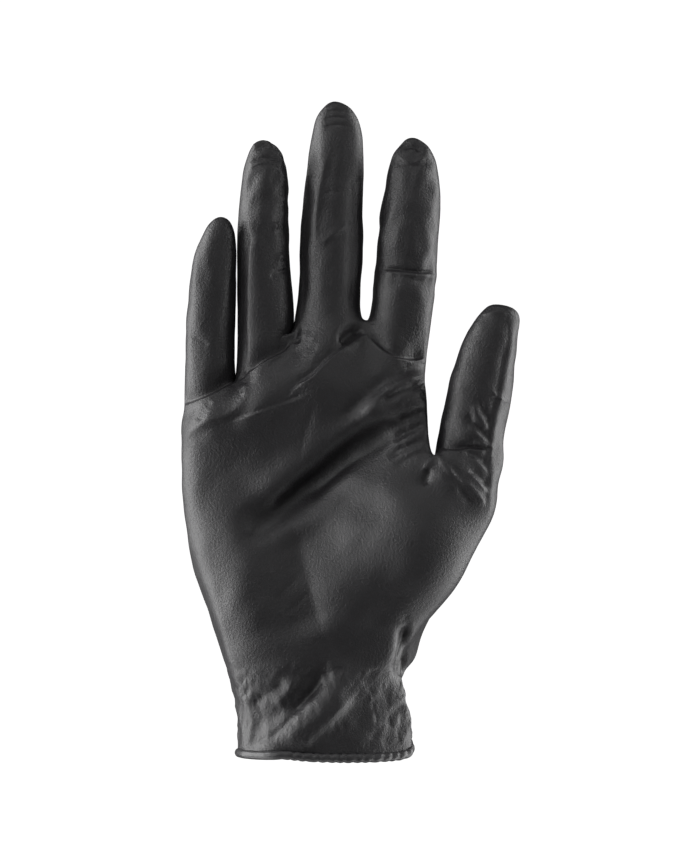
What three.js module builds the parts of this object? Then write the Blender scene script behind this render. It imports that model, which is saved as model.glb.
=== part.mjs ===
// Disposable nitrile exam glove, in the shape that it has on a right hand with the fingers up.
// Millimetres. X points to the thumb's side, Y to the back of the hand and Z to the fingertips.
// The origin is the middle of the cuff's mouth, at the height of the rolled bead.
// A coarse cage of four-sided faces is set out from tables of sections, subdivided once, dented
// by the folds and given its wall. The cuff's rolled bead is a ring of its own under the hem.
import * as THREE from 'three';

// Sizes of the whole glove. Its length runs from the bead to the tip of the middle finger, and its
// breadth is that of the four finger roots side by side.
const GLOVE_LENGTH = 237.3;
const KNUCKLE_BREADTH = 88.6;
const PALM_THICKNESS = 28;

// Sizes of the film and of the rolled bead.
const FILM_WALL = 1.2;
const BEAD_RADIUS = 1.7;
const BEAD_GAP = 0.3;
const BEAD_SIDES = 8;

// Sizes of the cuff and the wrist.
const CUFF_HEIGHT = 28;
const WRIST_BREADTH = 63;
const WRIST_THICKNESS = 40;
const PLEAT_DEPTH = 5.5;
const HEM_LIFT = 6;

// Sizes of the palm and of the thumb's root.
const PALM_OFFSET = -6.9;
const WEB_THICKNESS = 11;
const ROOT_SWELL = 1;
const KNUCKLE_DROP = 3;
const THUMB_ROOT_BREADTH = 25.8;
const THUMB_FORWARD = 8;

// A row for each finger, from the little one to the index. breadth at the root, and lean towards
// the thumb, are shares of the knuckles' breadth. crotch, the height of the crotch on the thumb's
// side, and tip are shares of the glove's length. thickness and curl are shares of the palm's
// thickness. The thumb stands over the palm's row, so its root has no place here.
const FINGERS = [
  { name: 'little', breadth: 0.21, crotch: 0.573, tip: 0.822, thickness: 0.554, lean: 0.045, curl: 0.25 },
  { name: 'ring', breadth: 0.237, crotch: 0.649, tip: 0.94, thickness: 0.625, lean: -0.003, curl: 0.214 },
  { name: 'middle', breadth: 0.2935, crotch: 0.6635, tip: 1, thickness: 0.679, lean: 0.029, curl: 0.179 },
  { name: 'index', breadth: 0.2595, crotch: 0.615, tip: 0.9435, thickness: 0.661, lean: 0.0655, curl: 0.143 },
];
const THUMB = { name: 'thumb', tip: 0.6873, thickness: 0.714, lean: 0.121, curl: 0.25 };
const OUTER_ROOT_SHARE = 0.535;
const PALM_SHARE = 0.451;

// Sections up each finger. at is the share of its length, breadth the share of its root's breadth,
// shift how far the section's middle lies off the leaning line, as a share of that breadth.
const FINGER_SECTIONS = {
  little: [
    { at: 0.12, breadth: 0.985, shift: -0.016 },
    { at: 0.3, breadth: 0.962, shift: -0.043 },
    { at: 0.5, breadth: 0.944, shift: -0.067 },
    { at: 0.68, breadth: 0.887, shift: -0.074 },
    { at: 0.82, breadth: 0.769, shift: -0.052 },
    { at: 0.92, breadth: 0.57, shift: -0.018 },
    { at: 0.98, breadth: 0.3, shift: 0 },
  ],
  ring: [
    { at: 0.12, breadth: 0.985, shift: 0.02 },
    { at: 0.28, breadth: 0.96, shift: 0.018 },
    { at: 0.48, breadth: 0.91, shift: -0.008 },
    { at: 0.68, breadth: 0.86, shift: -0.004 },
    { at: 0.82, breadth: 0.807, shift: 0.022 },
    { at: 0.925, breadth: 0.63, shift: 0.036 },
    { at: 0.98, breadth: 0.33, shift: 0.02 },
  ],
  middle: [
    { at: 0.12, breadth: 0.877, shift: -0.008 },
    { at: 0.3, breadth: 0.881, shift: -0.004 },
    { at: 0.48, breadth: 0.852, shift: -0.002 },
    { at: 0.66, breadth: 0.808, shift: 0.02 },
    { at: 0.82, breadth: 0.73, shift: 0.032 },
    { at: 0.925, breadth: 0.577, shift: 0.024 },
    { at: 0.98, breadth: 0.3, shift: 0.008 },
  ],
  index: [
    { at: 0.14, breadth: 0.996, shift: 0.046 },
    { at: 0.3, breadth: 1, shift: 0.07 },
    { at: 0.46, breadth: 0.952, shift: 0.066 },
    { at: 0.64, breadth: 0.93, shift: 0.07 },
    { at: 0.8, breadth: 0.825, shift: 0.064 },
    { at: 0.915, breadth: 0.617, shift: 0.05 },
    { at: 0.98, breadth: 0.317, shift: 0.02 },
  ],
  thumb: [
    { at: 0.13, breadth: 0.945, shift: -0.018 },
    { at: 0.32, breadth: 0.92, shift: -0.01 },
    { at: 0.5, breadth: 0.875, shift: -0.024 },
    { at: 0.68, breadth: 0.803, shift: -0.018 },
    { at: 0.82, breadth: 0.718, shift: 0.008 },
    { at: 0.925, breadth: 0.574, shift: 0.04 },
    { at: 0.98, breadth: 0.34, shift: 0.02 },
  ],
};

// Sections of the cuff. height is a share of its height; little, thumb, front and back are how
// far that side stands off the middle, as shares of the wrist's breadth or thickness.
const CUFF_SECTIONS = [
  { height: 0, little: 0.505, thumb: 0.512, front: 0.5, back: 0.5 },
  { height: 0.26, little: 0.508, thumb: 0.5, front: 0.495, back: 0.495 },
  { height: 0.62, little: 0.52, thumb: 0.469, front: 0.485, back: 0.485 },
  { height: 1, little: 0.554, thumb: 0.456, front: 0.49, back: 0.475 },
];

// The lengthwise pleat on the cuff's thumb side. height is a share of the cuff's height; the front
// lip, the pocket behind it and the lobe of the back stand in by these shares of the pleat's depth.
const PLEAT_SECTIONS = [
  { height: 0, lip: -0.2, pocket: 0.5, lobe: -0.1 },
  { height: 0.3, lip: -0.25, pocket: 0.58, lobe: 0.1 },
  { height: 0.65, lip: -0.25, pocket: 0.58, lobe: 0.1 },
  { height: 1, lip: -0.2, pocket: 0.55, lobe: -0.25 },
  { height: 1.22, lip: 0.6, pocket: 0.6, lobe: -0.25 },
  { height: 1.5, lip: 0.3, pocket: 0.15, lobe: -0.1 },
  { height: 1.8, lip: 0, pocket: 0, lobe: 0 },
];

// How far the hem, with the bead under it, rises round the mouth. place runs from -1 at the little
// finger's side to 1 at the thumb's; front and back are shares of the hem's lift.
const HEM_PLACES = [
  { place: -1, front: 0.03, back: 0.03 },
  { place: -0.75, front: -0.02, back: 0.1 },
  { place: -0.5, front: 0.04, back: 0.15 },
  { place: 0, front: -0.15, back: 0.2 },
  { place: 0.5, front: -0.15, back: 0.3 },
  { place: 0.8, front: -0.08, back: 0.5 },
  { place: 0.95, front: 0.25, back: 0.9 },
  { place: 1, front: 1, back: 1 },
];

// Sections of the palm, up to the crotch of the thumb. Heights are shares of the palm's height,
// little and thumb shares of its breadth, front and back of its thickness, and forward is the
// share of the thumb's stand in front of the hand.
const PALM_SECTIONS = [
  { height: 0.32, little: 0.419, thumb: 0.374, front: 0.71, back: 0.67, forward: 0 },
  { height: 0.39, little: 0.446, thumb: 0.396, front: 0.7, back: 0.64, forward: 0.1 },
  { height: 0.48, little: 0.479, thumb: 0.44, front: 0.68, back: 0.59, forward: 0.2 },
  { height: 0.58, little: 0.52, thumb: 0.518, front: 0.64, back: 0.55, forward: 0.45 },
  { height: 0.68, little: 0.556, thumb: 0.597, front: 0.6, back: 0.51, forward: 0.7 },
  { height: 0.79, little: 0.576, thumb: 0.682, front: 0.55, back: 0.48, forward: 0.9 },
  { height: 0.9, little: 0.587, thumb: 0.708, front: 0.51, back: 0.46, forward: 1 },
  { height: 1, little: 0.591, thumb: 0.732, front: 0.48, back: 0.45, forward: 1 },
];
// Rows above the thumb, as shares of the way up to the finger roots. The index's side lies in from
// a straight line there and the little finger's side out, as shares of the palm's breadth.
const UPPER_PALM = [
  { share: 0.36, index: 0.028, little: 0.004 },
  { share: 0.7, index: 0.018, little: 0.008 },
];
// How far the hand swells there at its corners, under the fingers and between them, as shares of
// the palm's thickness.
const UPPER_SWELL = {
  front: { corner: 0.04, finger: 0.12, gap: 0.17 },
  back: { corner: 0.04, finger: 0.05, gap: 0.09 },
};

// Pads and hollows of the hand that the film lies on. x is a share of the palm's breadth, height
// and spreads shares of the palm's height, rise a share of its thickness.
const MOUNDS = [
  { name: 'thenar', side: 'front', x: 0.4, height: 0.68, wide: 0.17, tall: 0.25, rise: 0.32 },
  { name: 'heel', side: 'front', x: -0.3, height: 0.56, wide: 0.16, tall: 0.26, rise: 0.15 },
  { name: 'hollow', side: 'front', x: -0.02, height: 0.84, wide: 0.2, tall: 0.24, rise: -0.16 },
  { name: 'pads', side: 'front', x: -0.08, height: 1.24, wide: 0.34, tall: 0.09, rise: 0.05 },
  { name: 'thumb_web', side: 'back', x: 0.44, height: 0.88, wide: 0.12, tall: 0.2, rise: -0.12 },
  { name: 'little_knuckle', side: 'back', x: -0.42, height: 1.18, wide: 0.07, tall: 0.09, rise: 0.06 },
  { name: 'ring_knuckle', side: 'back', x: -0.24, height: 1.27, wide: 0.08, tall: 0.1, rise: 0.08 },
  { name: 'middle_knuckle', side: 'back', x: 0.01, height: 1.31, wide: 0.09, tall: 0.11, rise: 0.1 },
  { name: 'index_knuckle', side: 'back', x: 0.26, height: 1.27, wide: 0.08, tall: 0.11, rise: 0.09 },
];

// Main folds of the film. A fold runs between two points over the front or the back, each given as
// a share of the palm's breadth across and a share of its height up. width is a share of the
// palm's height and rise a share of its thickness.
const FOLDS = [
  { name: 'palm_valley', side: 'front', from: [0.33, 1.15], to: [-0.27, 0.78], width: 0.05, rise: -0.11 },
  { name: 'palm_ridge', side: 'front', from: [0.35, 1.23], to: [-0.2, 0.91], width: 0.045, rise: 0.045 },
  { name: 'upper_valley', side: 'front', from: [0.35, 1.33], to: [0.02, 1.12], width: 0.04, rise: -0.055 },
  { name: 'root_fold', side: 'front', from: [0.12, 1.43], to: [-0.3, 1.17], width: 0.04, rise: 0.04 },
  { name: 'little_crease', side: 'front', from: [-0.58, 1.19], to: [-0.38, 1.27], width: 0.035, rise: -0.04 },
  { name: 'little_fold', side: 'front', from: [-0.56, 1.09], to: [-0.34, 1.18], width: 0.04, rise: 0.03 },
  { name: 'ring_crease', side: 'front', from: [-0.33, 1.3], to: [-0.15, 1.36], width: 0.035, rise: -0.045 },
  { name: 'index_crease', side: 'front', from: [0.18, 1.38], to: [0.42, 1.34], width: 0.035, rise: -0.05 },
  { name: 'index_joint', side: 'front', from: [0.2, 1.65], to: [0.46, 1.65], width: 0.03, rise: -0.05 },
  { name: 'thumb_crease', side: 'front', from: [0.46, 1.04], to: [0.68, 1.04], width: 0.035, rise: -0.05 },
  { name: 'web_arch', side: 'front', from: [0.48, 1.0], to: [0.67, 0.84], width: 0.04, rise: 0.05 },
  { name: 'web_pocket', side: 'front', from: [0.41, 0.99], to: [0.39, 0.9], width: 0.04, rise: -0.06 },
  { name: 'cuff_ridge', side: 'front', from: [0.06, 0.23], to: [-0.2, 0.05], width: 0.05, rise: 0.06 },
  { name: 'cuff_valley', side: 'front', from: [-0.03, 0.28], to: [-0.27, 0.1], width: 0.045, rise: -0.055 },
  { name: 'back_ridge', side: 'back', from: [0.25, 0.32], to: [-0.1, 0.08], width: 0.05, rise: 0.05 },
  { name: 'back_valley', side: 'back', from: [0.1, 0.34], to: [-0.25, 0.13], width: 0.045, rise: -0.05 },
];

// How square the cross sections are: 2 is an ellipse.
const PALM_SQUARENESS = 2.3;
// Shares of a finger's breadth and thickness at its middle line, and how they close at its tip.
const CORNER_SHARE = 0.15;
const FIT_ROUNDS = 5;

const palmHeight = GLOVE_LENGTH * PALM_SHARE;
const palmLeft = PALM_OFFSET - KNUCKLE_BREADTH / 2;
const hemHeight = BEAD_RADIUS + BEAD_GAP;
const lerp = THREE.MathUtils.lerp;
const smooth = (value, from, to) => THREE.MathUtils.smoothstep(value, from, to);

// A finger's sizes in millimetres, from the shares of its row.
function sized(finger) {
  return {
    ...finger,
    breadth: KNUCKLE_BREADTH * finger.breadth,
    crotch: GLOVE_LENGTH * finger.crotch,
    tip: GLOVE_LENGTH * finger.tip,
    thickness: PALM_THICKNESS * finger.thickness,
    lean: KNUCKLE_BREADTH * finger.lean,
    curl: PALM_THICKNESS * finger.curl,
  };
}
const fingers = FINGERS.map(sized);
const thumb = { ...sized(THUMB), breadth: THUMB_ROOT_BREADTH };

// The x of the border on the thumb's side of each finger root, after the little finger's outer side.
const borders = [palmLeft];
for (const finger of fingers) borders.push(borders.at(-1) + finger.breadth);
const rootHeights = [GLOVE_LENGTH * OUTER_ROOT_SHARE, ...fingers.map((finger) => finger.crotch)];

// The cage: points, and faces of four point numbers that run anticlockwise from outside.
const cage = { points: [], faces: [] };

function addPoint(x, y, z) {
  cage.points.push(new THREE.Vector3(x, y, z));
  return cage.points.length - 1;
}

// Faces between a lower and an upper row of as many points; closed rows join their ends.
function addBand(lower, upper, closed = true) {
  const count = closed ? lower.length : lower.length - 1;
  for (let i = 0; i < count; i++) {
    const next = (i + 1) % lower.length;
    cage.faces.push([lower[i], lower[next], upper[next], upper[i]]);
  }
}

// The front columns' places across the palm at the knuckles: a corner, each finger's middle and
// each border between two fingers, and a corner again.
function knuckleColumns() {
  const columns = [];
  fingers.forEach((finger, i) => {
    columns.push(i === 0 ? borders[0] + CORNER_SHARE * finger.breadth : borders[i]);
    columns.push((borders[i] + borders[i + 1]) / 2);
  });
  columns.push(borders.at(-1) - CORNER_SHARE * fingers.at(-1).breadth);
  return columns;
}

const thumbRow = PALM_SECTIONS.at(-1);
const thumbRight = KNUCKLE_BREADTH * thumbRow.thumb;
const thumbLeft = thumbRight - THUMB_ROOT_BREADTH;
const littleSide = -KNUCKLE_BREADTH * thumbRow.little;

// The same at the thumb's crotch, where the thumb adds two columns, as places from -1 to 1.
function lowerColumns() {
  const columns = knuckleColumns();
  columns[columns.length - 1] = thumbLeft;
  columns.push((thumbLeft + thumbRight) / 2);
  columns.push(thumbRight - CORNER_SHARE * 0.8 * THUMB_ROOT_BREADTH);
  return columns.map((x) => (2 * (x - littleSide)) / (thumbRight - littleSide) - 1);
}

// How full a section is at a place across it, from 1 in the middle to 0 at its sides.
function fullness(place) {
  return (1 - Math.abs(place) ** PALM_SQUARENESS) ** (1 / PALM_SQUARENESS);
}

// The row that a table of numbers would have at a value of its first column.
function rowAt(table, column, value) {
  const end = table.findIndex((row) => row[column] >= value);
  const next = end < 0 ? table.length - 1 : Math.max(1, end);
  const [low, high] = [table[next - 1], table[next]];
  const share = THREE.MathUtils.clamp((value - low[column]) / (high[column] - low[column]), 0, 1);
  const mixed = Object.keys(low).map((name) => [name, lerp(low[name], high[name], share)]);
  return Object.fromEntries(mixed);
}

// A closed row of points round the cuff or the palm: front columns, thumb's side, back columns
// towards the thumb, and the little finger's side. The last columns and the side have the pleat.
function palmRow({ left, right, front, back, z, forward, hem }, places) {
  const pleat = rowAt(PLEAT_SECTIONS, 'height', z / CUFF_HEIGHT);
  const last = places.length - 1;
  const foldedIn = (i, share) => (i === last ? PLEAT_DEPTH * share : 0);
  const across = (place, i, share) => lerp(left, right, (place + 1) / 2) - foldedIn(i, share);
  const standing = (place) => -forward * smooth(place, 0, 1);
  const height = (place, side) => z + hem * HEM_LIFT * rowAt(HEM_PLACES, 'place', place)[side];
  const fronts = places.map((place, i) => addPoint(
    across(place, i, pleat.lip),
    standing(place) - front * fullness(place),
    height(place, 'front'),
  ));
  const side = addPoint(right - PLEAT_DEPTH * pleat.pocket, standing(1), height(1, 'front'));
  const backs = places.map((place, i) => addPoint(
    across(place, i, pleat.lobe),
    standing(place) + back * fullness(place),
    height(place, 'back'),
  ));
  const outer = addPoint(left, 0, height(-1, 'front'));
  return { fronts, side, backs, outer };
}

function loopOf(row) {
  return [...row.fronts, row.side, ...row.backs.toReversed(), row.outer];
}

function cuffRow(section, places) {
  return palmRow({
    ...section,
    left: -WRIST_BREADTH * section.little,
    right: WRIST_BREADTH * section.thumb,
    front: WRIST_THICKNESS * section.front,
    back: WRIST_THICKNESS * section.back,
    z: lerp(hemHeight, CUFF_HEIGHT, section.height),
    forward: 0,
    hem: 1 - section.height,
  }, places);
}

function lowerPalmRow(section, places) {
  return palmRow({
    ...section,
    left: -KNUCKLE_BREADTH * section.little,
    right: KNUCKLE_BREADTH * section.thumb,
    front: PALM_THICKNESS * section.front,
    back: PALM_THICKNESS * section.back,
    z: palmHeight * section.height,
    forward: THUMB_FORWARD * section.forward,
    hem: 0,
  }, places);
}

// The row that the fingers grow from. The borders between two fingers are pinched to the web.
function knuckleRow() {
  const fronts = [];
  const backs = [];
  knuckleColumns().forEach((x, column) => {
    const [low, high] = [Math.floor(column / 2), Math.ceil(column / 2)];
    const atBorder = low === high;
    const z = (rootHeights[low] + rootHeights[high]) / 2;
    const depth = (atBorder ? WEB_THICKNESS : fingers[low].thickness) / 2 + (atBorder ? 0 : ROOT_SWELL);
    fronts.push(addPoint(x, -depth, z - KNUCKLE_DROP / 3));
    backs.push(addPoint(x, depth, z - KNUCKLE_DROP));
  });
  const outer = addPoint(borders[0], 0, rootHeights[0]);
  const side = addPoint(borders.at(-1), 0, rootHeights.at(-1));
  return { fronts, side, backs, outer };
}

// A row between two others of as many points, bulged to the palm's depth.
function rowBetween(lower, upper, { share, index, little }) {
  const bulge = PALM_THICKNESS * Math.sin(Math.PI * share);
  const between = (a, b, x, y) => {
    const middle = cage.points[a].clone().lerp(cage.points[b], share);
    return addPoint(middle.x + x * KNUCKLE_BREADTH, middle.y + y * bulge, middle.z);
  };
  const swell = ({ corner, finger, gap }, i) => {
    if (i === 0 || i === upper.fronts.length - 1) return corner;
    return i % 2 ? finger : gap;
  };
  return {
    fronts: upper.fronts.map((id, i) => between(lower.fronts[i], id, 0, -swell(UPPER_SWELL.front, i))),
    side: between(lower.side, upper.side, -index, 0),
    backs: upper.backs.map((id, i) => between(lower.backs[i], id, 0, swell(UPPER_SWELL.back, i))),
    outer: between(lower.outer, upper.outer, -little, 0),
  };
}

// A finger from its root loop of eight points, which starts at the corner of the front and the
// little finger's side. Its sections are ellipses, and its tip is four faces round one point.
function addFinger(root, finger, rootX, rootZ) {
  const rootY = root.reduce((sum, id) => sum + cage.points[id].y, 0) / root.length;
  const length = finger.tip - rootZ;
  let lower = root;
  for (const section of FINGER_SECTIONS[finger.name]) {
    const x = rootX + finger.lean * section.at + finger.breadth * section.shift;
    const y = rootY - finger.curl * section.at ** 2;
    const z = rootZ + length * section.at;
    const halfBreadth = (finger.breadth * section.breadth) / 2;
    const halfDepth = (finger.thickness * Math.sqrt(section.breadth) * tipDepth(section)) / 2;
    const loop = root.map((id, i) => {
      const angle = (-135 + 45 * i) * THREE.MathUtils.DEG2RAD;
      return addPoint(x + halfBreadth * Math.cos(angle), y + halfDepth * Math.sin(angle), z);
    });
    addBand(lower, loop);
    lower = loop;
  }
  const tip = addPoint(rootX + finger.lean, rootY - finger.curl, finger.tip);
  for (let i = 0; i < lower.length; i += 2) {
    cage.faces.push([lower[i], lower[i + 1], tip, lower.at(i - 1)]);
  }
}

// A fingertip is flatter than it is broad, more so towards its end.
function tipDepth(section) {
  return lerp(1, 0.82 * Math.sqrt(section.breadth), smooth(section.at, 0.55, 1));
}

function buildCage() {
  const places = lowerColumns();
  const rows = [
    ...CUFF_SECTIONS.map((section) => cuffRow(section, places)),
    ...PALM_SECTIONS.map((section) => lowerPalmRow(section, places)),
  ];
  for (let i = 1; i < rows.length; i++) addBand(loopOf(rows[i - 1]), loopOf(rows[i]));

  const split = rows.at(-1);
  const palmColumns = knuckleColumns().length;
  const web = addPoint(thumbLeft, -THUMB_FORWARD * 0.45, palmHeight);
  const palmRoot = {
    fronts: split.fronts.slice(0, palmColumns),
    side: web,
    backs: split.backs.slice(0, palmColumns),
    outer: split.outer,
  };
  const knuckles = knuckleRow();
  const upper = UPPER_PALM.map((row) => rowBetween(palmRoot, knuckles, row));
  [palmRoot, ...upper].forEach((row, i) => addBand(loopOf(row), loopOf([...upper, knuckles][i])));

  const webs = fingers.slice(0, -1).map((finger, i) => addPoint(borders[i + 1], 0, finger.crotch));
  fingers.forEach((finger, i) => {
    const front = knuckles.fronts.slice(2 * i, 2 * i + 3);
    const back = knuckles.backs.slice(2 * i, 2 * i + 3).toReversed();
    const sides = [webs[i - 1] ?? knuckles.outer, webs[i] ?? knuckles.side];
    const rootX = (borders[i] + borders[i + 1]) / 2;
    const rootZ = (rootHeights[i] + rootHeights[i + 1]) / 2;
    addFinger([...front, sides[1], ...back, sides[0]], finger, rootX, rootZ);
  });

  const thumbFront = split.fronts.slice(palmColumns - 1);
  const thumbBack = split.backs.slice(palmColumns - 1).toReversed();
  const thumbRoot = [...thumbFront, split.side, ...thumbBack, web];
  addFinger(thumbRoot, thumb, (thumbLeft + thumbRight) / 2, palmHeight);
}

// The edges of a mesh, each with its two points and the one or two faces at it.
function edgesOf(mesh) {
  const edges = new Map();
  mesh.faces.forEach((face, number) => {
    face.forEach((a, i) => {
      const b = face[(i + 1) % face.length];
      const key = a < b ? `${a} ${b}` : `${b} ${a}`;
      if (!edges.has(key)) edges.set(key, { a, b, faces: [] });
      edges.get(key).faces.push(number);
    });
  });
  return edges;
}

const average = (points) => points.reduce((sum, p) => sum.add(p), new THREE.Vector3())
  .divideScalar(points.length);

// One Catmull-Clark step. limits holds where each old point comes to lie on the smooth surface.
function subdivide(mesh) {
  const edges = edgesOf(mesh);
  const points = mesh.points.map((p) => p.clone());
  const facePoint = mesh.faces.map((face) => {
    points.push(average(face.map((id) => mesh.points[id])));
    return points.length - 1;
  });
  const edgePoint = new Map();
  const around = mesh.points.map(() => ({ edges: [], faces: [], middles: [], hem: [] }));
  for (const [key, edge] of edges) {
    const ends = [mesh.points[edge.a], mesh.points[edge.b]];
    const sharing = edge.faces.map((f) => points[facePoint[f]]);
    points.push(average(edge.faces.length === 2 ? [...ends, ...sharing] : ends));
    edgePoint.set(key, points.length - 1);
    for (const [id, other] of [[edge.a, edge.b], [edge.b, edge.a]]) {
      around[id].edges.push(points.length - 1);
      around[id].middles.push(average(ends));
      if (edge.faces.length === 1) around[id].hem.push(mesh.points[other]);
    }
  }
  mesh.faces.forEach((face, number) => face.forEach((id) => around[id].faces.push(facePoint[number])));

  const limits = mesh.points.map((old, id) => {
    const { edges: near, faces, middles, hem } = around[id];
    if (hem.length === 2) {
      points[id] = old.clone().multiplyScalar(6).add(hem[0]).add(hem[1]).divideScalar(8);
      return old.clone().multiplyScalar(4).add(hem[0]).add(hem[1]).divideScalar(6);
    }
    const n = faces.length;
    const facesMiddle = average(faces.map((f) => points[f]));
    points[id] = facesMiddle.add(average(middles).multiplyScalar(2))
      .add(old.clone().multiplyScalar(n - 3)).divideScalar(n);
    const limit = points[id].clone().multiplyScalar(n * n);
    near.forEach((e) => limit.addScaledVector(points[e], 4));
    faces.forEach((f) => limit.add(points[f]));
    return limit.divideScalar(n * (n + 5));
  });

  const key = (a, b) => edgePoint.get(a < b ? `${a} ${b}` : `${b} ${a}`);
  const faces = mesh.faces.flatMap((face, number) => face.map((id, i) => [
    id, key(id, face[(i + 1) % 4]), facePoint[number], key(face.at(i - 1), id),
  ]));
  return { mesh: { points, faces }, limits };
}

// Moves the cage's points until the smooth surface runs through the places that the tables give.
function fitCage(mesh) {
  const targets = mesh.points.map((p) => p.clone());
  for (let round = 0; round < FIT_ROUNDS; round++) {
    const { limits } = subdivide(mesh);
    mesh.points.forEach((p, id) => p.add(targets[id]).sub(limits[id]));
  }
}

// A mesh's points moved on to the smooth surface that it stands for.
function onLimit(mesh) {
  return { points: subdivide(mesh).limits, faces: mesh.faces };
}

function normalsOf(mesh) {
  const normals = mesh.points.map(() => new THREE.Vector3());
  for (const face of mesh.faces) {
    const [a, b, c, d] = face.map((id) => mesh.points[id]);
    const normal = c.clone().sub(a).cross(d.clone().sub(b));
    face.forEach((id) => normals[id].add(normal));
  }
  return normals.map((n) => n.normalize());
}

// How much a point belongs to the front or the back of the glove, from how it faces.
function facing(normal, side) {
  return smooth(side === 'front' ? -normal.y : normal.y, 0.15, 0.75);
}

const spotAt = (x, height) => new THREE.Vector2(x * KNUCKLE_BREADTH, height * palmHeight);

// The rise of the mounds and folds at a point, along its normal.
function riseAt(point, normal) {
  const spot = new THREE.Vector2(point.x, point.z);
  let rise = 0;
  for (const mound of MOUNDS) {
    const away = spotAt(mound.x, mound.height).sub(spot);
    const spread = (away.x / (mound.wide * palmHeight)) ** 2 + (away.y / (mound.tall * palmHeight)) ** 2;
    rise += facing(normal, mound.side) * mound.rise * PALM_THICKNESS * Math.exp(-spread);
  }
  for (const fold of FOLDS) {
    const start = spotAt(...fold.from);
    const along = spotAt(...fold.to).sub(start);
    const share = THREE.MathUtils.clamp(spot.clone().sub(start).dot(along) / along.lengthSq(), 0, 1);
    const away = start.addScaledVector(along, share).distanceTo(spot) / (fold.width * palmHeight);
    rise += facing(normal, fold.side) * fold.rise * PALM_THICKNESS * Math.exp(-(away ** 2));
  }
  return rise;
}

function dent(mesh) {
  const normals = normalsOf(mesh);
  mesh.points.forEach((point, id) => point.addScaledVector(normals[id], riseAt(point.clone(), normals[id])));
}

// The points round the open hem, in order, found from the edges that have one face.
function hemOf(mesh) {
  const next = new Map();
  for (const edge of edgesOf(mesh).values()) {
    if (edge.faces.length === 1) next.set(edge.a, edge.b);
  }
  const loop = [next.keys().next().value];
  while (loop.length < next.size) loop.push(next.get(loop.at(-1)));
  return loop;
}

// A closed solid from triangles.
function solidGeometry(points, triangles) {
  const geometry = new THREE.BufferGeometry().setFromPoints(points);
  geometry.setIndex(triangles.flat());
  geometry.computeVertexNormals();
  return geometry;
}

// Two triangles of a four-sided face, split over its shorter diagonal.
function triangles(points, [a, b, c, d]) {
  const across = points[a].distanceTo(points[c]) <= points[b].distanceTo(points[d]);
  return across ? [[a, b, c], [a, c, d]] : [[b, c, d], [b, d, a]];
}

// The film: the outer surface, the same one wall inside it, and the hem's edge between them.
function filmGeometry(mesh) {
  const count = mesh.points.length;
  const normals = normalsOf(mesh);
  const inner = mesh.points.map((p, id) => p.clone().addScaledVector(normals[id], -FILM_WALL));
  const points = [...mesh.points, ...inner];
  const outside = mesh.faces.flatMap((face) => triangles(points, face));
  const inside = outside.map(([a, b, c]) => [a + count, c + count, b + count]);
  const hem = hemOf(mesh);
  const edge = hem.flatMap((id, i) => {
    const next = hem[(i + 1) % hem.length];
    return [[next, id, id + count], [next, id + count, next + count]];
  });
  return solidGeometry(points, [...outside, ...inside, ...edge]);
}

// The rolled bead: a round ring under the middle of the film's hem.
function beadGeometry(mesh) {
  const normals = normalsOf(mesh);
  const hem = hemOf(mesh);
  const points = [];
  for (const id of hem) {
    const outward = normals[id].clone().setZ(0).normalize();
    const centre = mesh.points[id].clone().addScaledVector(outward, -FILM_WALL / 2);
    centre.z -= BEAD_RADIUS + BEAD_GAP;
    for (let side = 0; side < BEAD_SIDES; side++) {
      const angle = (2 * Math.PI * side) / BEAD_SIDES;
      const point = centre.clone().addScaledVector(outward, BEAD_RADIUS * Math.cos(angle));
      point.z += BEAD_RADIUS * Math.sin(angle);
      points.push(point);
    }
  }
  const faces = [];
  hem.forEach((id, ring) => {
    const nextRing = (ring + 1) % hem.length;
    for (let side = 0; side < BEAD_SIDES; side++) {
      const nextSide = (side + 1) % BEAD_SIDES;
      faces.push([ring * BEAD_SIDES + side, nextRing * BEAD_SIDES + side,
        nextRing * BEAD_SIDES + nextSide, ring * BEAD_SIDES + nextSide]);
    }
  });
  return solidGeometry(points, faces.flatMap((face) => triangles(points, face)));
}

buildCage();
fitCage(cage);
const surface = onLimit(subdivide(cage).mesh);
dent(surface);

const nitrile = new THREE.MeshStandardMaterial({ color: 0x2b2a2c, roughness: 0.52, metalness: 0 });
const rolledNitrile = new THREE.MeshStandardMaterial({ color: 0x353336, roughness: 0.6, metalness: 0 });

const film = new THREE.Mesh(filmGeometry(surface), nitrile);
film.name = 'glove_film';
const bead = new THREE.Mesh(beadGeometry(surface), rolledNitrile);
bead.name = 'rolled_bead';

const glove = new THREE.Group();
glove.add(film, bead);
export default glove;
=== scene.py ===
# %% [markdown]
# # A worn nitrile exam glove
#
# The real glove is one thin film of black nitrile rubber. A hand form is dipped in liquid rubber,
# the film dries on it, and its open edge is rolled up into a bead. On a hand the film stretches
# smooth over the fingers and gathers in crisp folds where it is loose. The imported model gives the
# form and the size. This script makes the same film with its folds, the same bead with its
# puckers, and their finish.

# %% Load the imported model
import math

import bmesh
import bpy
import numpy as np
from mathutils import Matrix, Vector, noise
from mathutils.bvhtree import BVHTree


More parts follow.
